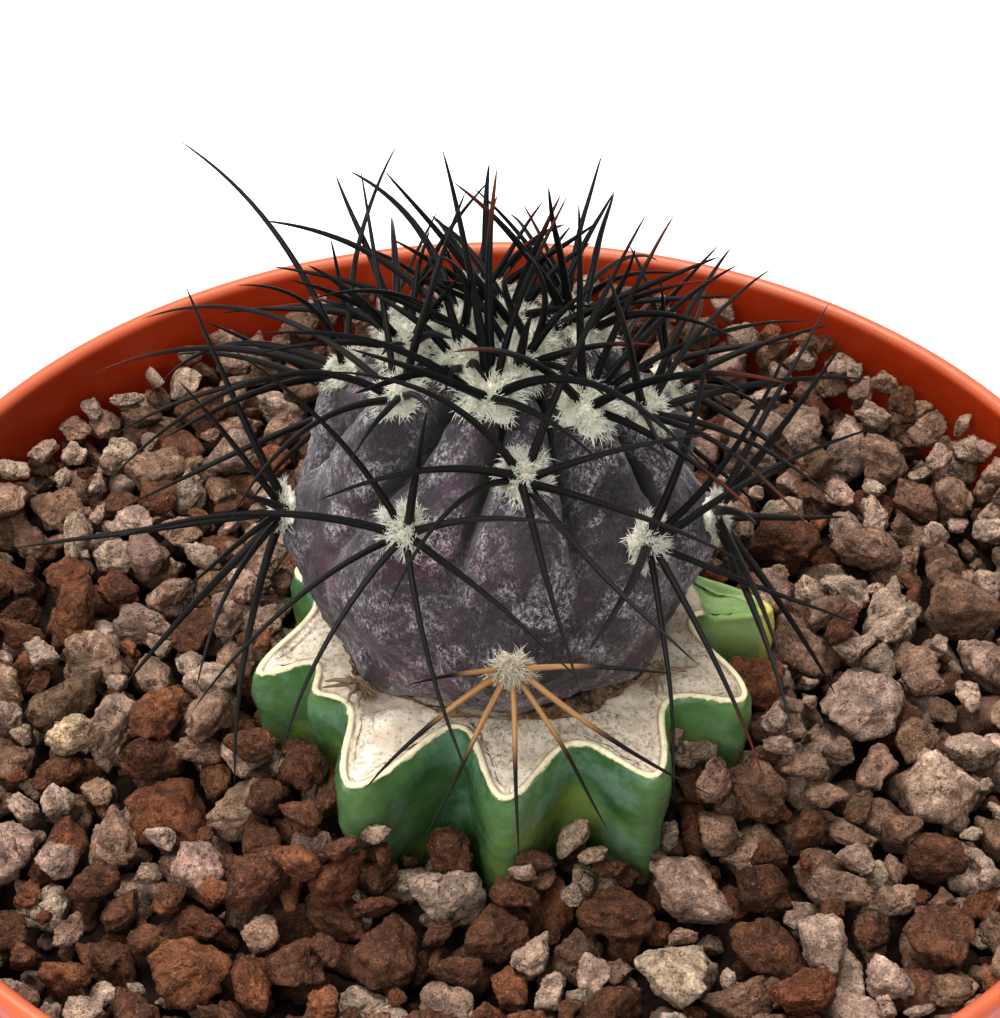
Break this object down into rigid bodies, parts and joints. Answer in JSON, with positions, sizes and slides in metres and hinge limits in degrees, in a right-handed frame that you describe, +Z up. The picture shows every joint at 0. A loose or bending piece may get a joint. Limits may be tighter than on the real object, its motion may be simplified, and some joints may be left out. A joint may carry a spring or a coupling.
{
  "type": "potted round cactus",
  "caption": "Round black-spined cactus globe grafted on a cut green stock, standing in volcanic gravel in a round plastic nursery pot.",
  "frame": {"origin": "centre of the pot's foot, on the surface it stands on", "axes": "+Z up out of the pot; -Y is the front of the plant"},
  "size_m": [0.1, 0.1, 0.1294],
  "materials": {
    "pot_plastic": "smooth moulded terracotta-coloured plastic with a low sheen",
    "gravel": "rough, porous volcanic gravel, red-brown and grey-beige",
    "stock_flesh": "waxy green skin with a dry cork-coloured cut face",
    "globe_skin": "dull grey-violet skin with a mealy white bloom",
    "spines": "hard dark spines, slightly glossy, with cream wool at the base"
  },
  "bodies": {
    "root": {"pot": "pot_plastic", "gravel_bed": "gravel", "rootstock": "stock_flesh", "scion": "globe_skin", "crown_spines_1": "spines", "crown_spines_2": "spines", "crown_spines_3": "spines", "crown_spines_4": "spines", "crown_spines_5": "spines", "crown_spines_6": "spines", "crown_spines_7": "spines", "crown_spines_8": "spines", "crown_spines_9": "spines", "crown_spines_10": "spines", "shoulder_spines_1": "spines", "shoulder_spines_2": "spines", "shoulder_spines_3": "spines", "shoulder_spines_4": "spines", "shoulder_spines_5": "spines", "shoulder_spines_6": "spines", "shoulder_spines_7": "spines", "shoulder_spines_8": "spines", "shoulder_spines_9": "spines", "shoulder_spines_10": "spines", "waist_spines_1": "spines", "waist_spines_2": "spines", "waist_spines_3": "spines", "waist_spines_4": "spines", "waist_spines_5": "spines", "waist_spines_6": "spines", "waist_spines_7": "spines", "waist_spines_8": "spines", "waist_spines_9": "spines", "waist_spines_10": "spines"}
  },
  "joints": []
}
